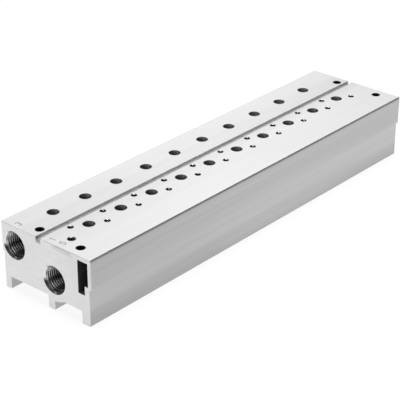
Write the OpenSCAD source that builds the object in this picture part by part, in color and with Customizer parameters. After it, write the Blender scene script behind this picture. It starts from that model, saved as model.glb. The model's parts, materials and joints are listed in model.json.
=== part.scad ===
// Bar-type valve manifold base: an extruded aluminium bar with two fluid
// channels, a hollow duct and a row of valve stations on its flat top.
// X runs along the bar, Y across it, Z up. The origin is under its centre.

/* [Stations] */
// Number of valve stations
stations = 10; // [2:1:16]
// Distance from one station to the next
pitch = 22; // [20:0.5:30]
// Bar left over beyond the first and the last station
end_margin = 25.3; // [24:0.1:40]

/* [Bar section] */
// Width over the upper side walls
bar_w = 59.8; // [59:0.1:64]
// Height from the feet to the top face
bar_h = 35.8; // [35:0.1:42]
// Height of the wider upper part of each side
shoulder_h = 15.8; // [10:0.1:18]
// How far the shoulder stands out from the lower side
shoulder_out = 1.2; // [0.6:0.1:2]
// Height of the feet below the body
foot_h = 6.8; // [4:0.1:7.5]
// Width of the front foot
front_foot_w = 5.3; // [3.5:0.1:6]
// Width of the back foot
back_foot_w = 3.8; // [3:0.1:6]
// Distance of the middle foot's middle behind the front channel's
middle_foot_back = 2.1; // [0:0.1:3]
// Width of the middle foot
middle_foot_w = 4.3; // [3:0.1:6]
// Radius on the long outer edges
edge_r = 0.5; // [0.2:0.05:0.8]
// Radius in the root of the feet
root_r = 0.4; // [0.2:0.05:0.8]
// Chamfer round the sawn and faced ends
end_chamfer = 0.25; // [0.1:0.05:0.5]

/* [Top groove] */
// Distance of the groove from the row of front ports
groove_y = 8.6; // [8:0.1:9.5]
// Width of the groove
groove_w = 3.1; // [2:0.1:3.6]
// Depth of its straight walls
groove_wall = 1.7; // [0.5:0.1:2]
// Depth at the tip of its V floor
groove_depth = 3.0; // [2.2:0.1:3.4]

/* [Duct] */
// Distance of the duct's inner wall from the row of front ports
duct_y = 17.3; // [17:0.1:17.6]
// Width of the duct
duct_w = 6.5; // [5:0.1:7]
// Wall between the duct and the top face
duct_roof = 2.3; // [1.5:0.1:4]
// Height of the duct
duct_h = 17.6; // [12:0.1:19]
// Width of the ledge in the duct's outer lower corner
ledge_w = 2.2; // [1:0.1:3]
// Height of that ledge
ledge_h = 4.9; // [3:0.1:7]

/* [Channels and end ports] */
// Diameter of both channels along the bar
channel_d = 11; // [8:0.1:11.2]
// Outer diameter of the G 1/4 thread in each end
port_thread_d = 13.157; // [9.728:0.001:13.157]
// Depth of that thread
port_thread_l = 14; // [10:0.5:18]
// Width of the mouth of each end port, over its chamfer
port_mouth_d = 15; // [13.6:0.1:15.2]
// Back channel's distance from the row of front ports
back_channel_y = 25.6; // [24.8:0.1:25.8]
// Back channel's depth below the top face
back_channel_z = 10.6; // [9.5:0.1:12]
// Front channel's offset from the row of front ports
front_channel_y = -1.1; // [-2:0.1:0]
// Front channel's depth below the top face
front_channel_z = 19.5; // [18:0.1:20]
// Wall round the front channel where it bulges below the body
channel_wall = 5.8; // [5.2:0.1:6]

/* [Station holes] */
// Diameter of the ports on the top face
port_d = 6; // [4:0.1:7]
// Distance of the row of back ports from the row of front ports
back_row_y = 21.55; // [21:0.05:23]
// Shift of the back ports along the bar
back_row_shift = -2.8; // [-4:0.1:0]
// Diameter of the M3 valve screw holes, over the thread
screw_d = 3; // [2.5:0.1:3.5]
// Depth of the valve screw holes
screw_depth = 7; // [5:0.5:8]
// Valve screw's distance from its port along the bar
screw_x = 8.1; // [7:0.1:9]
// Valve screw's distance from its port across the bar
screw_y = 4.3; // [4:0.05:5]
// Distance of the row of front ports from the bar's middle
front_row_y = -4.1; // [-4.5:0.05:-4]

/* [Fixing holes] */
// Diameter of the through holes that fix the bar down
fix_d = 4.5; // [4:0.1:5]
// Distance of these holes beyond the first and last station
fix_x = 19.2; // [18.5:0.1:20]
// Their distance to either side of the row of front ports
fix_y = 13.65; // [13.4:0.05:13.8]
// Diameter of the M4 earth screw hole, over the thread
earth_d = 4; // [3:0.1:5]
// Depth of the earth screw hole
earth_depth = 7; // [5:0.5:8]
// Distance of the earth hole before the first station
earth_x = 15.9; // [15:0.1:17]

/* [Hidden] */
$fn = 64;
cut = 1;                                   // how far cutters run past a face
drill_tip = 31;                            // slope of a drilled hole's bottom, degrees
bar_l = (stations - 1) * pitch + 2 * end_margin;
body_z = foot_h;                           // underside of the body
side_out = bar_w / 2;                      // upper side wall
side_in = side_out - shoulder_out;         // lower side wall
shoulder_z = bar_h - shoulder_h;
middle_foot_y = front_row_y + front_channel_y + middle_foot_back;
front_channel_h = bar_h - front_channel_z;
back_channel_h = bar_h - back_channel_z;
row_start = -(stations - 1) * pitch / 2;
duct_top = bar_h - duct_roof;
duct_in = front_row_y - duct_y;            // inner wall of the duct

// Distance of station i from the middle of the bar
function station_x(i) = row_start + i * pitch;

// A square corner at the origin, less the quarter circle that rounds it
module corner_cutter(r) {
    difference() {
        translate([-cut, -cut]) square(r + cut);
        translate([r, r]) circle(r);
    }
}

// Fills an inside corner at the origin with a quarter round
module corner_filler(r) {
    difference() {
        translate([-0.01, -0.01]) square(r + 0.01);
        translate([r, r]) circle(r);
    }
}

// Turns a corner shape to sit at [y, z], facing the way of signs sy and sz
module at_corner(y, z, sy, sz) {
    translate([y, z]) scale_sign(sy, sz) children();
}

module scale_sign(sy, sz) {
    mirror([sy < 0 ? 1 : 0, 0]) mirror([0, sz < 0 ? 1 : 0]) children();
}

// One foot between two places across the bar, with rounded lower edges
module foot_2d(y0, y1) {
    difference() {
        translate([y0, 0]) square([y1 - y0, body_z + 1]);
        at_corner(y0, 0, 1, 1) corner_cutter(edge_r);
        at_corner(y1, 0, -1, 1) corner_cutter(edge_r);
    }
}

// The wall round the front channel that shows below the body
module channel_bulge_2d() {
    intersection() {
        translate([front_row_y + front_channel_y, front_channel_h])
            circle(channel_d / 2 + channel_wall);
        translate([-side_in, 0]) square([side_in + middle_foot_y, shoulder_z]);
    }
}

// Outline of the bar's section, with no holes
module outline_2d() {
    difference() {
        union() {
            translate([-side_in, body_z]) square([2 * side_in, shoulder_z - body_z + 1]);
            translate([-side_out, shoulder_z]) square([bar_w, shoulder_h]);
            foot_2d(-side_in, -side_in + front_foot_w);
            foot_2d(middle_foot_y - middle_foot_w / 2, middle_foot_y + middle_foot_w / 2);
            foot_2d(side_in - back_foot_w, side_in);
            channel_bulge_2d();
            at_corner(-side_in + front_foot_w, body_z, 1, -1) corner_filler(root_r);
            at_corner(middle_foot_y + middle_foot_w / 2, body_z, 1, -1) corner_filler(root_r);
            at_corner(side_in - back_foot_w, body_z, -1, -1) corner_filler(root_r);
        }
        for (s = [-1, 1]) {
            at_corner(s * side_out, bar_h, -s, -1) corner_cutter(edge_r);
            at_corner(s * side_out, shoulder_z, -s, 1) corner_cutter(edge_r / 2);
        }
    }
}

// The V groove along the top
module groove_2d() {
    y = front_row_y + groove_y;
    half = groove_w / 2;
    polygon([
        [y - half, bar_h + cut],
        [y - half, bar_h - groove_wall],
        [y, bar_h - groove_depth],
        [y + half, bar_h - groove_wall],
        [y + half, bar_h + cut]
    ]);
}

// The hollow duct behind the front wall, with its ledge
module duct_2d() {
    difference() {
        translate([duct_in - duct_w, duct_top - duct_h]) square([duct_w, duct_h]);
        translate([duct_in - duct_w - cut, duct_top - duct_h - cut])
            square([ledge_w + cut, ledge_h + cut]);
    }
}

// The section runs along X
module along_bar(length) {
    rotate([90, 0, 90]) translate([0, 0, -length / 2]) linear_extrude(length) children();
}

// A chamfer cutter along one straight edge of an end face, running past a and b
module edge_chamfer(a, b) {
    side = end_chamfer * sqrt(2);
    middle = (a + b) / 2;
    translate([0, middle[0], middle[1]])
        rotate([atan2(b[1] - a[1], b[0] - a[0]), 0, 0])
            rotate([0, 45, 0]) cube([side, norm(b - a) + 2 * cut, side], center = true);
}

// The edges of an end face that are broken after sawing
module end_chamfers() {
    for (s = [-1, 1])
        edge_chamfer([s * side_out, shoulder_z], [s * side_out, bar_h]);
    edge_chamfer([-side_out, bar_h], [side_out, bar_h]);
}

// A threaded port in the end face at x = 0, going into the bar along +X
module end_port(y, z) {
    mouth = (port_mouth_d - port_thread_d) / 2;
    translate([0, y, z]) rotate([0, 90, 0]) {
        cylinder(h = port_thread_l, d = port_thread_d);
        translate([0, 0, -cut])
            cylinder(h = mouth + cut, d1 = port_mouth_d + 2 * cut, d2 = port_thread_d);
        translate([0, 0, port_thread_l - 0.01])
            cylinder(h = 1, d1 = port_thread_d, d2 = channel_d);
    }
}

// Both channels, tapped from either end
module channels() {
    at = [
        [front_row_y + front_channel_y, front_channel_h],
        [front_row_y + back_channel_y, back_channel_h]
    ];
    for (c = at) {
        translate([-bar_l / 2, c[0], c[1]]) rotate([0, 90, 0])
            cylinder(h = bar_l, d = channel_d);
        translate([-bar_l / 2, 0, 0]) end_port(c[0], c[1]);
        translate([bar_l / 2, 0, 0]) mirror([1, 0, 0]) end_port(c[0], c[1]);
    }
}

// A drilled and tapped hole going down from the top face
module tapped_hole(x, y, d, depth) {
    tip = d / 2 * tan(drill_tip);
    translate([x, y, bar_h - depth]) {
        cylinder(h = depth + cut, d = d);
        translate([0, 0, -tip]) cylinder(h = tip + 0.01, d1 = 0, d2 = d);
    }
}

// What is drilled for one valve: two ports and two screw holes
module station(x) {
    translate([x, front_row_y, front_channel_h])
        cylinder(h = front_channel_z + cut, d = port_d);
    translate([x + back_row_shift, front_row_y + back_row_y, back_channel_h])
        cylinder(h = back_channel_z + cut, d = port_d);
    tapped_hole(x - screw_x, front_row_y + screw_y, screw_d, screw_depth);
    tapped_hole(x + screw_x, front_row_y - screw_y, screw_d, screw_depth);
}

// The four holes that fix the bar to a panel
module fixing_holes() {
    x = -row_start + fix_x;
    for (sx = [-1, 1], sy = [-1, 1])
        translate([sx * x, front_row_y + sy * fix_y, -cut])
            cylinder(h = bar_h + 2 * cut, d = fix_d);
}

module manifold_block() {
    color([0.82, 0.83, 0.84])
    difference() {
        along_bar(bar_l) outline_2d();
        along_bar(bar_l + 2 * cut) groove_2d();
        along_bar(bar_l + 2 * cut) duct_2d();
        for (s = [-1, 1]) translate([s * bar_l / 2, 0, 0]) end_chamfers();
        channels();
        for (i = [0 : stations - 1]) station(station_x(i));
        fixing_holes();
        tapped_hole(row_start - earth_x, front_row_y - screw_y, earth_d, earth_depth);
    }
}

manifold_block();
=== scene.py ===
import json
import math

import bpy
import numpy as np
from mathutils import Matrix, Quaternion, Vector


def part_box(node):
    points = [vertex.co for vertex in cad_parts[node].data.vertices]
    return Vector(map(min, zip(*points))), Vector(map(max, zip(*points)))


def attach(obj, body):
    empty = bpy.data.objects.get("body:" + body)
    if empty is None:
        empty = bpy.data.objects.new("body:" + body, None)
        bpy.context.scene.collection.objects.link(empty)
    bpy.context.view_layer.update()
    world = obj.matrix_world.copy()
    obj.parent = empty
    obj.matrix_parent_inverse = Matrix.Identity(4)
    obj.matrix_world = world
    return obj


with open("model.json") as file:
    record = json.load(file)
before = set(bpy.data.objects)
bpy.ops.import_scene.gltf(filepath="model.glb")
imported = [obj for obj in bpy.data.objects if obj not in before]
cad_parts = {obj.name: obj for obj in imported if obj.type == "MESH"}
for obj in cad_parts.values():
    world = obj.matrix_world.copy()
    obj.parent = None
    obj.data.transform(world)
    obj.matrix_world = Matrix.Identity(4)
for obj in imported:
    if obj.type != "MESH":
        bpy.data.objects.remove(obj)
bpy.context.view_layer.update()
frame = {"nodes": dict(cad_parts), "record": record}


# Manifold block
# One piece of extruded aluminium, sawn to length, faced on its ends and milled flat
# on top, then anodised in its natural colour. The extrusion's drawing lines run along
# it, its drilled holes are painted dark inside as shade, and its countersinks, cut
# last, are bare metal painted darker as shade.

block = frame["nodes"]["manifold_block"]
mounts = {mount["name"]: mount for mount in frame["record"]["mounts"]}
half_length, half_width, top = (1000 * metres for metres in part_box("manifold_block")[1])
port_axes = [(1000 * mount["pos_m"][1], 1000 * mount["pos_m"][2])
             for name, mount in mounts.items() if name.endswith("port_near_end")]

# sizes in mm, as in every section before the studio
FOOT_HEIGHT = 6.8
SHOULDER = 1.2                               # how far the upper sides stand out
DUCT_Y = -24.65                              # middle of the duct on the end face
DUCT_Z = 24.7
DUCT_HALF_WIDTH = 3.3                        # with 0.05 to spare
DUCT_HALF_HEIGHT = 8.85
GROOVE_Y = 4.5                               # middle of the groove along the top
GROOVE_HALF_WIDTH = 1.55
GROOVE_WALL = 1.7                            # depth of its upright walls
GROOVE_DEPTH = 3.0                           # and of the bottom of its V floor
GROOVE_LINE = 0.3                            # width of the line of painted shade before the groove
COUNTERSINK = 7.5                            # radius of the end ports' mouths
COUNTERSINK_DEPTH = 1.0                      # with 0.08 to spare
EDGE_BREAK = 0.27                            # width of the painted shade of a broken edge round a plain hole
SCREW_MOUTH = 0.17                           # and of the countersink round a screw hole
REACH = 0.1                                  # how far a mask reaches past what it covers
SKIN = 0.03                                  # a point this near to a face is part of it

# looks: a shade is a share of white
FACING = (0.6, 0.9)                          # where a rounded edge turns into a flat face
FACE_SHADE = 0.84
BORE_SHADOW_SHADE = 0.02                            # share of that which is left in a hole under its painted shadow
FACE_ROUGHNESS = 0.42
CUT_ROUGHNESS = 0.15
FACE_METALLIC = 0.45
SCREW_MOUTH_LEAN = 0.577                     # tangent of 30 degrees
RELIEF = 0.012                               # depth of the drawing lines, mm


class Reading:
    """A value that varies over a surface. Sums of readings become Math nodes."""

    def __init__(self, finish, socket):
        self.finish = finish
        self.socket = socket

    def _sum(self, operation, *terms):
        return self.finish.node("Math", {"operation": operation}, dict(enumerate(terms)))

    def __add__(self, other):
        return self._sum("ADD", self, other)

    def __sub__(self, other):
        return self._sum("SUBTRACT", self, other)

    def __rsub__(self, other):
        return self._sum("SUBTRACT", other, self)

    def __mul__(self, other):
        return self._sum("MULTIPLY", self, other)

    def __abs__(self):
        return self._sum("ABSOLUTE", self)

    def __lt__(self, other):
        return self._sum("LESS_THAN", self, other)

    def __gt__(self, other):
        return self._sum("GREATER_THAN", self, other)

    __radd__ = __add__
    __rmul__ = __mul__

    def lesser(self, other):
        return self._sum("MINIMUM", self, other)

    def greater(self, other):
        return self._sum("MAXIMUM", self, other)

    def root(self):
        return self._sum("SQRT", self)

    def wrapped(self, width):
        """The value moved by whole widths, to within half a width of 0."""
        return self._sum("WRAP", self, width / 2, -width / 2)

    def less(self, share):
        """What is left of the value when that share of it is taken off."""
        return self * (1.0 - share)


class Finish:
    """The nodes of a material, or of the studio's light."""

    def __init__(self, owner):
        owner.use_nodes = True
        self.owner = owner
        self.tree = owner.node_tree
        self.tree.nodes.clear()

    def node(self, kind, settings=None, inputs=None, output=0):
        """One node of a kind: its settings, then its inputs. Gives one output."""
        node = self.tree.nodes.new("ShaderNode" + kind)
        for name, value in (settings or {}).items():
            setattr(node, name, value)
        for name, value in (inputs or {}).items():
            if isinstance(value, Reading):
                self.tree.links.new(value.socket, node.inputs[name])
            else:
                node.inputs[name].default_value = value
        return Reading(self, node.outputs[output]) if node.outputs else None

    def parts(self, vector):
        """The X, Y and Z of a vector."""
        return [self.node("SeparateXYZ", inputs={0: vector}, output=i) for i in range(3)]

    def place(self):
        """The X, Y and Z of a point on the piece, in mm."""
        metres = self.node("TexCoord", output="Object")
        return self.parts(self.node("VectorMath", {"operation": "SCALE"},
                                    {0: metres, "Scale": 1000.0}))

    def cloud(self, x, y, z, detail=2.0, rough=0.5):
        """Soft noise between about -0.5 and 0.5 at the given point."""
        point = self.node("CombineXYZ", inputs={0: x, 1: y, 2: z})
        noise = self.node("TexNoise", {"noise_dimensions": "3D"},
                          {"Vector": point, "Scale": 1.0, "Detail": detail, "Roughness": rough})
        return noise - 0.5

    def ramp(self, value, start, end):
        """0 below start and 1 above end, smooth between."""
        return self.node("MapRange", {"interpolation_type": "SMOOTHSTEP"},
                         {"Value": value, "From Min": start, "From Max": end})

    def fall(self, value, start, end):
        """1 below start and 0 above end, smooth between."""
        return 1.0 - self.ramp(value, start, end)

    def band(self, value, start, end, soft):
        """1 between start and end, fading to 0 over a soft width outside them."""
        return self.ramp(value, start - soft, start) * self.fall(value, end, end + soft)

    def metal(self, shade, roughness, metallic, height, depth_mm, facing=None):
        """The whole material: grey metal of a shade, with a fine relief of that depth."""
        relief = {"Strength": 1.0, "Distance": depth_mm / 1000, "Height": height}
        if facing:
            relief["Normal"] = facing
        bump = self.node("Bump", inputs=relief)
        grey = self.node("CombineXYZ", inputs={0: shade, 1: shade, 2: shade})
        shader = self.node("BsdfPrincipled", inputs={
            "Base Color": grey, "Roughness": roughness, "Metallic": metallic, "Normal": bump})
        self.node("OutputMaterial", inputs={"Surface": shader})
        return self.owner


def rows_of_holes():
    """Each row of like holes on top: name, first X, last X, Y, spacing and radius.
    Mounts in line whose names differ only in their numbers make one row."""
    rows = {}
    for name, mount in mounts.items():
        x, y = (1000 * metres for metres in mount["pos_m"][:2])
        dims = mount["dims"]
        if "spacing_x_mm" in dims:
            spacing = dims["spacing_x_mm"]
            spread = dims.get("spacing_y_mm", 0.0) / 2
            for row_y in sorted({y - spread, y + spread}):
                row = (name.rstrip("0123456789_"), row_y)
                first, last = rows.get(row, (x, x))[:2]
                first = min(first, x - spacing / 2)
                last = max(last, x + spacing / 2)
                rows[row] = (first, last, spacing, dims["hole_r_mm"])
        elif mount["axis"][2] == 1 and "r_mm" in dims:
            rows[name, y] = (x, x, 2 * half_length, dims["r_mm"])
    return [(name, first, last, row_y, spacing, radius)
            for (name, row_y), (first, last, spacing, radius) in rows.items()]


def anodised_aluminium():
    """Streaked satin metal, with painted shade in its holes, groove, duct and edges."""
    finish = Finish(bpy.data.materials.new("anodised_aluminium"))
    ramp, fall, band, cloud = finish.ramp, finish.fall, finish.band, finish.cloud
    x, y, z = finish.place()
    nx, ny, nz = finish.parts(finish.node("NewGeometry", output="Normal"))
    on_top = ramp(nz, *FACING)
    on_end = ramp(abs(nx), *FACING)
    on_side = ramp(abs(ny), *FACING)
    to_end = half_length - abs(x)

    # drawing lines run along the bar, and the face mill crosses its ends nearly level
    hair = cloud(x * 0.03, y * 4.0, z * 4.0, detail=3.0, rough=0.6)
    streak = cloud(x * 0.006, y * 0.22, z * 0.35)
    patch = cloud(x * 0.035, y * 0.05, z * 0.05)
    grain = cloud(x * 3.0, y * 3.0, z * 3.0)
    milled = cloud(x * 0.2, y * 0.10, z * 0.45 + y * 0.03, detail=3.0)
    marks = ((hair * 0.05 + streak * 0.08) * on_top
             + (hair * 0.10 + streak * 0.20) * on_side
             + (milled * 0.14 + patch * 0.10) * on_end
             + grain * 0.02)

    # depth is how far a point is inside the top, the ends, the lower sides and the
    # underside between the feet, whichever is nearest
    lower_side = half_width - SHOULDER
    depth = (top - z).lesser(to_end).lesser(lower_side - abs(y)).lesser(z - FOOT_HEIGHT)
    in_groove = ((abs(y - GROOVE_Y) < GROOVE_HALF_WIDTH + REACH)
                 * (z > top - GROOVE_DEPTH - REACH))
    in_duct = ((abs(y - DUCT_Y) < DUCT_HALF_WIDTH + REACH)
               * (abs(z - DUCT_Z) < DUCT_HALF_HEIGHT + REACH))
    countersunk = 0.0
    for port_y, port_z in port_axes:
        off_y = y - port_y
        off_z = z - port_z
        mouth = off_y * off_y + off_z * off_z < (COUNTERSINK + REACH) ** 2
        countersunk = countersunk + mouth
    countersunk = countersunk * (to_end < COUNTERSINK_DEPTH) * (to_end > SKIN)

    in_port = rim = screw_rim = lean_x = lean_y = 0.0
    for name, first, last, row_y, spacing, radius in rows_of_holes():
        # how far a point is from the axis of the row's nearest hole
        off_x = (x - first).wrapped(spacing)
        off_y = y - row_y
        off = (off_x * off_x + off_y * off_y).root()
        among = (x > first - 2 * radius) * (x < last + 2 * radius)
        if "screw" in name:
            ring = among * (off < radius + SCREW_MOUTH) * on_top
            screw_rim = screw_rim + ring
            lean_x = lean_x + off_x * ring * (1 / radius)
            lean_y = lean_y + off_y * ring * (1 / radius)
        else:
            rim = rim + among * fall(off, radius + EDGE_BREAK * 0.6, radius + EDGE_BREAK)
        if "valve_ports" in name:
            in_port = in_port + (off < radius + REACH)

    # the small chamfer between the top and an end
    end_edge = band(abs(nx), 0.6, 0.8, 0.1) * ramp(nz, 0.3, 0.6)

    # painted shadow makes a hole dark inside, and painted light lifts the first 3 mm of the
    # wall of a valve port that faces the near front corner, and a little of the duct
    bore_shadow = ramp(depth, 0.0, 0.1).less(in_groove).less(countersunk).less(end_edge)
    back_wall = ramp(nx * -0.76 + ny * -0.65, 0.1, 1.0) * in_port
    lit = ramp(depth, 0.0, 0.3) * fall(depth, 2.4, 3.2) * back_wall * 0.55 + in_duct * 0.2

    # painted shade makes the top darker along the groove and towards both ends, and painted
    # light makes it paler along the front of its near half
    towards_far_end = ramp(x, 0.0, 110.0)
    top_painted_shading = (ramp(abs(x - 25.0), 20.0, 160.0) * 0.07
                + band(y, 0.0, 14.0, 5.0) * (0.045 + towards_far_end * 0.02)
                - ramp(-1.0 * y, 10.0, 18.0) * fall(x, -60.0, 60.0) * 0.03)

    # the extruded sides are duller than the milled faces; painted shade darkens them most
    # low down at the near end and at the foot of the far end, and painted light lifts a
    # pale band halfway up and grows towards the far end
    outer_side = abs(y) > lower_side - 0.3
    low_corner = fall(z, 0.0, 14.0) * fall(x, -120.0, 20.0) * outer_side
    far_foot = towards_far_end * fall(z, 0.0, 8.0)
    pale_band = band(z, 12.5, 17.0, 6.5)
    side_dullness_and_shading = 0.08 + low_corner * 0.10 + far_foot * 0.10 - pale_band * 0.08 - x * 0.0004

    # painted shade darkens the ends in a spot just below the top edge, and towards the
    # front side
    shade_spot = band(y, -15.5, -6.5, 3.5) * ramp(z, 32.0, 34.8)
    end_painted_shading = shade_spot * 0.19 + ramp(-1.0 * y, 5.0, 20.0) * 0.04

    shade = FACE_SHADE * (1.0 + marks)
    shade = shade.less(on_top * top_painted_shading).less(on_end * end_painted_shading).less(on_side * side_dullness_and_shading)
    # painted shade: the countersinks round the screw holes are nearly black, the end ports'
    # cones a little darker, and a dark ring round each plain hole stands for its broken edge
    shade = shade.less(screw_rim * 0.945).less(countersunk * 0.1).less(rim * on_top * 0.75)
    # painted shadow inside the holes, less where the painted light falls
    shade = shade.less(bore_shadow * (1.0 - (lit + BORE_SHADOW_SHADE)))

    # painted shade: the groove's walls are darker than its floor, it is darkest at the bar's
    # ends, and a painted dark line runs along its front edge
    groove_floor = ramp(top - z, GROOVE_WALL - 0.1, GROOVE_WALL + 0.1)
    groove_edge = GROOVE_Y - GROOVE_HALF_WIDTH
    groove_line = band(y, groove_edge - GROOVE_LINE, groove_edge, 0.1)
    shade = shade.less(in_groove * ramp(depth, 0.0, 0.2) * (0.38 - 0.2 * groove_floor))
    shade = shade.less(in_groove * fall(to_end, 0.5, 4.0) * 0.4)
    shade = shade.less(on_top * groove_line * 0.35)

    # painted shade makes the rounded top edges dark, the chamfers at the ends a little
    # darker, and the faces just below the edges a little darker too
    long_edge = band(abs(ny), 0.1, 0.98, 0.015) * ramp(nz, 0.1, 0.2)
    long_edge = long_edge.less(in_groove).less(bore_shadow)
    under_edge = on_side * outer_side * ramp(z, top - 1.7, top - 0.7)
    under_end = on_end * ramp(z, top - 1.1, top - 0.5)
    shade = shade.less(long_edge * 0.72).less(under_edge * 0.42)
    shade = shade.less(end_edge * 0.3).less(under_end * 0.12)

    cut = countersunk + screw_rim
    roughness = (FACE_ROUGHNESS + hair * 0.16 + grain * 0.06).less(cut) + CUT_ROUGHNESS * cut
    metallic = FACE_METALLIC * (1.0 - end_edge) + (1.0 - FACE_METALLIC) * cut
    height = (hair.less(on_end) + milled * on_end + grain * 0.4).less(cut)
    # a screw hole's countersink leans 30 degrees towards the hole
    leaning = finish.node("CombineXYZ", inputs={
        0: nx - lean_x * SCREW_MOUTH_LEAN, 1: ny - lean_y * SCREW_MOUTH_LEAN, 2: nz})
    facing = finish.node("VectorMath", {"operation": "NORMALIZE"}, {0: leaning})
    return finish.metal(shade, roughness, metallic, height, RELIEF, facing)


for slot in block.material_slots:
    slot.material = anodised_aluminium()


# Threads of the end ports
# Each channel is tapped G 1/4 from both ends. The thread is cut in the bar's own metal,
# so its ridges stand in from the wall of the bore, and the countersink at the mouth
# takes the tips off the first of them.

PIPE_PITCH = 1.337
PIPE_RIDGE = 0.856                           # height of the thread's ridge
PIPE_THREAD = 13.6                           # length of the thread
PIPE_FLARE = 1.0                             # the cone's fall in radius per mm inwards
CLEARANCE = 0.03                             # keeps a ridge's faces off the bar's own
WALL_BACKING = 0.4                           # how far a ridge's back is past the wall
MOUTH_BACKING = 0.3                          # and past the rim of the mouth, at least
TOOTH_POINTS = 9                             # across a ridge
FADE_TURNS = 0.5                             # in which a ridge's inner end dies away


def closed_bar(rings):
    """Points, quads and end caps of a bar whose rings are the rows of an array. Each
    quad joins two neighbours on one ring to the same two on the next."""
    here = np.arange(rings.shape[0] * rings.shape[1]).reshape(rings.shape[:2])
    beside = np.roll(here, -1, axis=1)
    quads = np.stack([here[:-1], here[1:], beside[1:], beside[:-1]], axis=2)
    return rings.reshape(-1, 3), quads.reshape(-1, 4), [here[0], here[-1][::-1]]


def joined(name, bars, material):
    """One object that holds some closed bars, whose points are given in mm."""
    points = np.vstack([bar for bar, quads, caps in bars]) / 1000
    faces = []
    start = 0
    for bar, quads, caps in bars:
        faces += (quads + start).tolist() + [(cap + start).tolist() for cap in caps]
        start += len(bar)
    mesh = bpy.data.meshes.new(name)
    mesh.from_pydata(points.tolist(), [], faces)
    mesh.materials.append(material)
    piece = bpy.data.objects.new(name, mesh)
    bpy.context.scene.collection.objects.link(piece)
    return piece


def thread_ridge(wall, ridge, pitch, length, mouth, flare, per_turn, turned):
    """The closed bar of a thread's ridge in a bore along +X, and its heights.

    A rounded tooth, one pitch wide and as high as half of 1 + cos across it, is
    carried round the bore while it moves on by one pitch in each turn. It
    starts before the mouth, is cut back to the countersink's cone there, and
    fades out over half a turn at its other end. Two more points behind it
    close it. Wall and mouth are radii, flare is the cone's fall in radius per
    mm, and turned is the share of a turn that the whole ridge is turned by.
    """
    turns = length / pitch
    rows = int((turns + 1) * per_turn)
    turn = np.linspace(-1.0, turns, rows)[:, None]
    across = np.linspace(-0.5, 0.5, TOOTH_POINTS)[None, :]
    fade = np.clip((turns - turn) / FADE_TURNS, 0.0, 1.0)
    tooth = (0.5 + 0.5 * np.cos(2 * np.pi * across)) * fade
    along = ((turn + across) * pitch).clip(CLEARANCE, length)
    in_bore = wall + CLEARANCE - (ridge + CLEARANCE) * tooth
    radius = np.maximum(in_bore, mouth - flare * along)
    behind = np.full((rows, 2), max(wall + WALL_BACKING, mouth + MOUTH_BACKING))
    radius = np.hstack([radius, behind])
    along = np.hstack([along, along[:, -1:], along[:, :1]])
    height = np.hstack([tooth, np.zeros((rows, 2))])
    angle = 2 * np.pi * (turn + turned)
    rings = np.stack([along, radius * np.cos(angle), radius * np.sin(angle)], axis=2)
    return closed_bar(rings), height.ravel()


def thread_piece(name, bores, material, **form):
    """One object that holds a ridge in each bore, given as (mouth, way in)."""
    (ridge, quads, caps), height = thread_ridge(**form)
    side = np.array([0.0, 1.0, 0.0])
    bars = []
    for mouth_point, way_in in bores:
        axes = np.array([way_in, side, np.cross(way_in, side)])
        bars.append((ridge @ axes + mouth_point, quads, caps))
    piece = joined(name, bars, material)
    mesh = piece.data
    mesh.polygons.foreach_set("use_smooth", [True] * len(mesh.polygons))
    tooth = mesh.attributes.new("tooth", "FLOAT", "POINT")
    tooth.data.foreach_set("value", np.tile(height, len(bores)))
    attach(piece, "root")
    return piece


def cut_thread(name, crest, root, roughness, painted_shade_axes=()):
    """Metal where a tap has cut, with painted shade in the roots and further into the
    hole. A bore whose axis is given also has painted shade level with it and below,
    and where the thread runs in at its mouth, least so and with painted light low on
    the side towards the back."""
    finish = Finish(bpy.data.materials.new(name))
    ramp, fall = finish.ramp, finish.fall
    x, y, z = finish.place()
    chatter = finish.cloud(x * 2.5, y * 2.5, z * 2.5)
    tooth = finish.node("Attribute", {"attribute_name": "tooth"}, output="Fac")
    depth = (top - z).lesser(half_length - abs(x))
    # painted shade in the roots and deeper in the hole
    shade = (root + (crest - root) * tooth) * (1.0 + chatter * 0.12)
    shade = shade.less(ramp(depth, 0.5, 9.0) * 0.5)
    # painted shade by each given axis and at the run-in, with painted light low on its back
    # side
    for port_y, port_z in painted_shade_axes:
        here = abs(y - port_y) < COUNTERSINK
        run_in = here * fall(depth, 1.2, 2.0)
        level = here * finish.band(z - port_z, -1.2, 1.4, 1.2)
        lower = here * fall(z - port_z, -2.4, -1.2)
        lit = run_in * ramp(y - port_y, 0.8, 2.4) * fall(z - port_z, -0.5, 0.8)
        shade = shade.less((level * 0.35 + lower * 0.6).less(lit))
        shade = shade * (1.0 - run_in * 0.5 + lit * 0.2)
    return finish.metal(shade, roughness + chatter * 0.06, metallic=0.9, height=chatter,
                        depth_mm=0.004)


pipe_bores = []
for name, mount in mounts.items():
    if name.endswith(("port_near_end", "port_far_end")):
        outwards = mount["axis"][0]
        y, z = (1000 * metres for metres in mount["pos_m"][1:])
        pipe_bores.append(((outwards * half_length, y, z), (-outwards, 0, 0)))
# the end ports' threads carry painted shade by their axes
tapped_port = cut_thread("tapped_port", crest=0.66, root=0.54, roughness=0.23,
                         painted_shade_axes=port_axes)
thread_piece("end_port_threads", pipe_bores, tapped_port,
             wall=mounts["front_port_near_end"]["dims"]["r_mm"], ridge=PIPE_RIDGE,
             pitch=PIPE_PITCH, length=PIPE_THREAD, mouth=COUNTERSINK + CLEARANCE,
             flare=PIPE_FLARE, per_turn=64, turned=-0.22)


# Threads of the screw holes
# Two M3 holes at each station hold its valve, and one M4 hole before the first
# station takes the earth screw. All are blind and tapped from the top face.

M3_PITCH = 0.5
M3_RIDGE = 0.27                              # height of the thread's ridge
M4_PITCH = 0.7
M4_RIDGE = 0.38
SCREW_THREAD = 6.5                           # length of both threads
SCREW_FLARE = 1.73                           # the cone's fall in radius per mm down
DOWN = (0, 0, -1)

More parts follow.
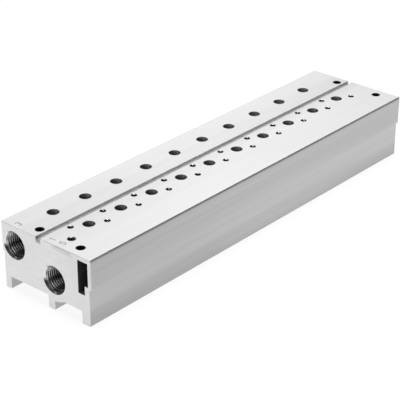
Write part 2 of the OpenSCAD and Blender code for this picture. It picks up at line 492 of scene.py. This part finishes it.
screw_bores = []
for name, mount in mounts.items():
    if name.startswith("valve_screws"):
        x, y, z = (1000 * metres for metres in mount["pos_m"])
        half_spacing = mount["dims"]["spacing_x_mm"] / 2
        screw_bores += [((x - half_spacing, y, z), DOWN), ((x + half_spacing, y, z), DOWN)]
        screw_radius = mount["dims"]["hole_r_mm"]
tapped_screw_hole = cut_thread("tapped_screw_hole", crest=0.42, root=0.12, roughness=0.22)
thread_piece("valve_screw_threads", screw_bores, tapped_screw_hole,
             wall=screw_radius, ridge=M3_RIDGE, pitch=M3_PITCH, length=SCREW_THREAD,
             mouth=screw_radius, flare=SCREW_FLARE, per_turn=20, turned=-0.2)

earth = mounts["earth_screw"]
earth_radius = earth["dims"]["r_mm"]
earth_bore = ((1000 * earth["pos_m"][0], 1000 * earth["pos_m"][1], top), DOWN)
tapped_earth_hole = cut_thread("tapped_earth_hole", crest=0.2, root=0.16, roughness=0.3)
thread_piece("earth_screw_thread", [earth_bore], tapped_earth_hole,
             wall=earth_radius, ridge=M4_RIDGE, pitch=M4_PITCH, length=SCREW_THREAD,
             mouth=earth_radius, flare=SCREW_FLARE, per_turn=24, turned=-0.2)


# Port numbers
# Plain numbers are lightly engraved on the top face beside the end ports. Their tops
# point to the back of the bar, and their strokes are darker than the face.

NUMBERS = {"3": (-121.1, 21.0), "1": (-121.0, -2.1), "5": (-120.4, -8.3)}  # their middles
NUMBER_HEIGHT = 3.4
STROKE = 0.62                                # width of a stroke
STROKE_TOP = 0.012                           # the first stroke's top above the face
STROKE_STEP = 0.004                          # and the next one's above that
STROKE_ROOT = 0.05                           # how far a stroke reaches into the bar
SHARPEST_BEND = 0.6                          # cosine of half of it
BOX_MIDDLE = (0.3, 0.5)                      # of the box below


def arc(centre_u, centre_v, radius, start, end, steps=18):
    """Points on a circle from one angle to another, in degrees."""
    angle = np.radians(np.linspace(start, end, steps))
    return np.stack([centre_u + radius * np.cos(angle),
                     centre_v + radius * np.sin(angle)], axis=1)


STROKES = {                                  # in a box 0.6 wide and 1 high
    "1": [np.array([[0.1, 0.82], [0.34, 1.0], [0.34, 0.0]])],
    "3": [arc(0.28, 0.75, 0.25, 155, -85), arc(0.28, 0.27, 0.27, 85, -155)],
    "5": [np.array([[0.52, 1.0], [0.12, 1.0], [0.1, 0.5]]), arc(0.26, 0.3, 0.3, 125, -145)],
}


def engraved_stroke(path, middle, height):
    """A flat ribbon along a path. Each point is set to either side by half of the
    stroke's width, square to the path's way there and further in a bend, at the given
    height above the face and again under it."""
    steps = np.diff(path, axis=0)
    steps /= np.linalg.norm(steps, axis=1)[:, None]
    before = np.vstack([steps[:1], steps])
    after = np.vstack([steps, steps[-1:]])
    way = (before + after) / np.linalg.norm(before + after, axis=1)[:, None]
    half_bend = np.maximum((way * after).sum(axis=1), SHARPEST_BEND)[:, None]
    square = np.stack([-way[:, 1], way[:, 0]], axis=1) * STROKE / 2 / half_bend
    flat = (path - BOX_MIDDLE) * NUMBER_HEIGHT + middle
    rim = [(flat + square, top - STROKE_ROOT), (flat - square, top - STROKE_ROOT),
           (flat - square, top + height), (flat + square, top + height)]
    rings = [np.column_stack([edge, np.full(len(edge), z)]) for edge, z in rim]
    return closed_bar(np.stack(rings, axis=1))


def engraved_metal():
    """The strokes of a number, darker than the face round them."""
    finish = Finish(bpy.data.materials.new("engraved_metal"))
    x, y, z = finish.place()
    shade = 0.34 + finish.cloud(x * 2, y * 2, z * 2) * 0.12
    height = finish.cloud(x * 4, y * 4, z * 4)
    return finish.metal(shade, roughness=0.5, metallic=0.45, height=height, depth_mm=0.004)


strokes = [engraved_stroke(path, middle, STROKE_TOP + STROKE_STEP * layer)
           for number, middle in NUMBERS.items()
           for layer, path in enumerate(STROKES[number])]
port_numbers = joined("port_numbers", strokes, engraved_metal())
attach(port_numbers, "root")


# Studio
# A white table in a darkened room. A broad soft lamp hangs straight overhead, a low one
# stands beyond the near end and a weak one behind the far end, and a long lens looks
# down along the bar.

FLOOR_HALF = 12.0                            # metres, as all lengths in the studio
WHITE = (1, 1, 1, 1)
TABLE_SEEN = (0.96, 0.96, 0.96, 1)           # its paint to the camera and in mirrors
TABLE_UNSEEN = (0.32, 0.32, 0.32, 1)         # and as it lights the bar
TABLE_GLOW = 0.9                             # share of the seen table that glows white
ROOM_LIGHT = 0.1

scene = bpy.context.scene
scene.view_settings.view_transform = "Standard"

floor_mesh = bpy.data.meshes.new("table")
corners = FLOOR_HALF * np.array([(-1, -1, 0), (1, -1, 0), (1, 1, 0), (-1, 1, 0)])
floor_mesh.from_pydata(corners.tolist(), [], [(0, 1, 2, 3)])
finish = Finish(bpy.data.materials.new("white_table"))
camera_ray, glossy_ray, through_ray = (
    finish.node("LightPath", output=name)
    for name in ("Is Camera Ray", "Is Glossy Ray", "Is Transmission Ray"))
seen = camera_ray.greater(glossy_ray).greater(through_ray)
paint = finish.node("Mix", {"data_type": "RGBA"},
                    {"Factor": seen, "A": TABLE_UNSEEN, "B": TABLE_SEEN}, output="Result")
cloth = finish.node("BsdfDiffuse", inputs={"Color": paint})
glow = finish.node("Emission", inputs={"Color": WHITE, "Strength": 1.0})
upper = finish.node("MixShader", inputs={0: seen * TABLE_GLOW, 1: cloth, 2: glow})
# seen from below, the table is open
underside = finish.node("NewGeometry", output="Backfacing")
finish.node("OutputMaterial", inputs={"Surface": finish.node("MixShader", inputs={
    0: underside, 1: upper, 2: finish.node("BsdfTransparent")})})
floor_mesh.materials.append(finish.owner)
table = bpy.data.objects.new("table", floor_mesh)
scene.collection.objects.link(table)

room = Finish(bpy.data.worlds.new("studio"))
room.node("OutputWorld", inputs={"Surface": room.node("Background", inputs={
    "Color": WHITE, "Strength": ROOM_LIGHT})})
scene.world = room.owner


def soft_lamp(name, way, distance, size, strength):
    """A square lamp that lies that way from the bar and faces it. Its strength
    is the share of white that it alone gives to a surface that faces it."""
    lamp = bpy.data.lights.new(name, "AREA")
    lamp.size = size
    lamp.energy = strength * math.pi ** 2 * distance ** 2
    holder = bpy.data.objects.new(name, lamp)
    holder.location = Vector(way).normalized() * distance
    holder.rotation_euler = Vector(way).to_track_quat("Z", "Y").to_euler()
    holder.visible_camera = False
    scene.collection.objects.link(holder)


soft_lamp("overhead_lamp", way=(0, 0, 1), distance=1.5, size=0.6, strength=1.16)
soft_lamp("low_lamp", way=(-1, 0.1, 0.25), distance=1.5, size=0.8, strength=0.40)
soft_lamp("back_lamp", way=(0.67, 0.58, 0.46), distance=1.6, size=0.8, strength=0.05)

VIEW_AZIMUTH = math.radians(-49.11)
VIEW_ELEVATION = math.radians(27.363)
VIEW_ROLL = math.radians(0.10)
VIEW_DISTANCE = 0.80008
AIM = Vector((-0.00249, 0.00959, 0.00626))
LENS = 135.03                                # mm

back = Vector((math.sin(VIEW_AZIMUTH) * math.cos(VIEW_ELEVATION),
               -math.cos(VIEW_AZIMUTH) * math.cos(VIEW_ELEVATION),
               math.sin(VIEW_ELEVATION)))
roll = Quaternion((0, 0, 1), VIEW_ROLL)
camera = bpy.data.objects.new("camera", bpy.data.cameras.new("camera"))
camera.data.lens = LENS
camera.location = AIM + back * VIEW_DISTANCE
camera.rotation_mode = "QUATERNION"
camera.rotation_quaternion = (-back).to_track_quat("-Z", "Y") @ roll
scene.collection.objects.link(camera)
scene.camera = camera
